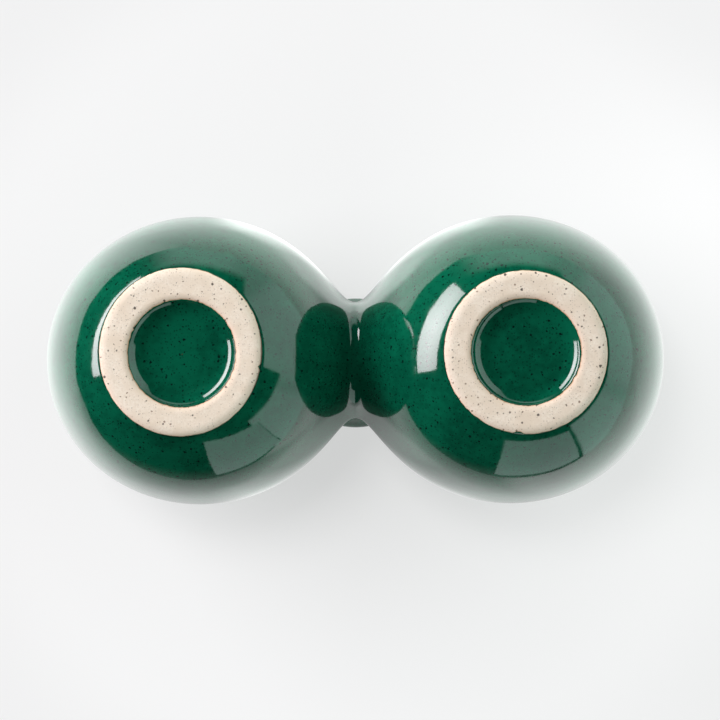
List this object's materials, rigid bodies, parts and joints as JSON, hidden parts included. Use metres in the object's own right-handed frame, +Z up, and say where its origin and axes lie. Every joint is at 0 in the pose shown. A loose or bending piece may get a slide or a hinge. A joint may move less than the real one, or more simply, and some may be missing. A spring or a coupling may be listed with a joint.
{
  "type": "snack bowl",
  "caption": "Joined snack bowls in glossy green glazed stoneware, round and full-bellied on bare clay foot rings, with a small cup on the neck between their mouths.",
  "frame": {"origin": "on the table under the middle of the neck, halfway between the bowls, at the level of the foot rings' flat undersides", "axes": "+X along the row of bowls towards the right one, +Y across the row, +Z up out of the mouths"},
  "size_m": [0.21, 0.0988, 0.075],
  "materials": {
    "green_glaze": "glossy emerald glaze with fine dark specks",
    "bare_clay": "unglazed cream clay with brown specks"
  },
  "bodies": {
    "root": {"left_bowl": "green_glaze", "right_bowl": "green_glaze", "left_foot_ring": "bare_clay", "right_foot_ring": "bare_clay", "joining_neck": "green_glaze", "centre_cup": "green_glaze"}
  },
  "joints": []
}
